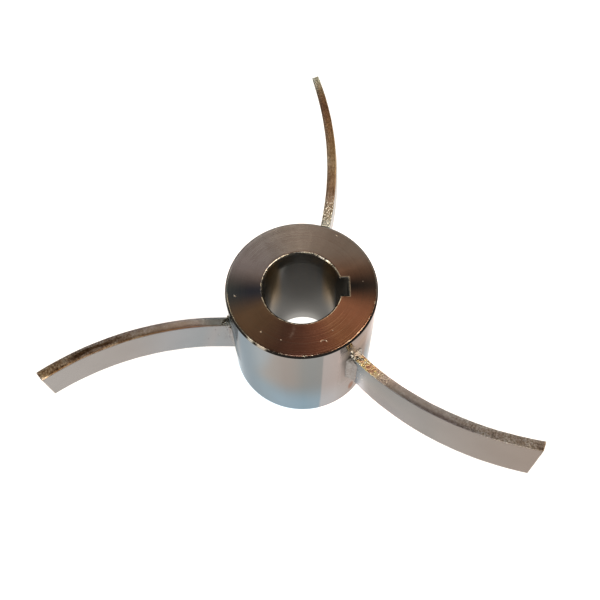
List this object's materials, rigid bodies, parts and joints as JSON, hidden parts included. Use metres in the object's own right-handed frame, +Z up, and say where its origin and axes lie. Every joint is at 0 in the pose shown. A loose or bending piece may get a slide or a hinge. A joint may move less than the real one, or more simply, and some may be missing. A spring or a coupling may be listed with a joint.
{
  "type": "mixer impeller",
  "caption": "Retreat-curve mixer impeller: a bored and keyed round hub with curved, upswept flat-bar blades welded to its wall.",
  "frame": {"origin": "on the bore's axis, in the plane of the hub's base", "axes": "+Z up along the bore's axis towards the hub's top face, +X towards the keyway, blades curving back anticlockwise seen from above"},
  "size_m": [0.1855, 0.1705, 0.0705],
  "materials": {
    "turned_steel": "plated turned steel, mirror-like wall, fine turning rings on the end faces",
    "bar_steel": "plated flat bar with satin faces and rough flame-cut edges",
    "weld_metal": "plated weld beads, rippled and heat-tinted"
  },
  "bodies": {
    "root": {"hub": "turned_steel", "blade_left": "bar_steel", "blade_right": "bar_steel", "blade_back": "bar_steel", "weld_left_inner": "weld_metal", "weld_left_outer": "weld_metal", "weld_left_top_inner": "weld_metal", "weld_left_top_outer": "weld_metal", "weld_left_under_inner": "weld_metal", "weld_left_under_outer": "weld_metal", "weld_right_inner": "weld_metal", "weld_right_outer": "weld_metal", "weld_right_top_inner": "weld_metal", "weld_right_top_outer": "weld_metal", "weld_right_under_inner": "weld_metal", "weld_right_under_outer": "weld_metal", "weld_back_inner": "weld_metal", "weld_back_outer": "weld_metal", "weld_back_top_inner": "weld_metal", "weld_back_top_outer": "weld_metal", "weld_back_under_inner": "weld_metal", "weld_back_under_outer": "weld_metal"}
  },
  "joints": []
}
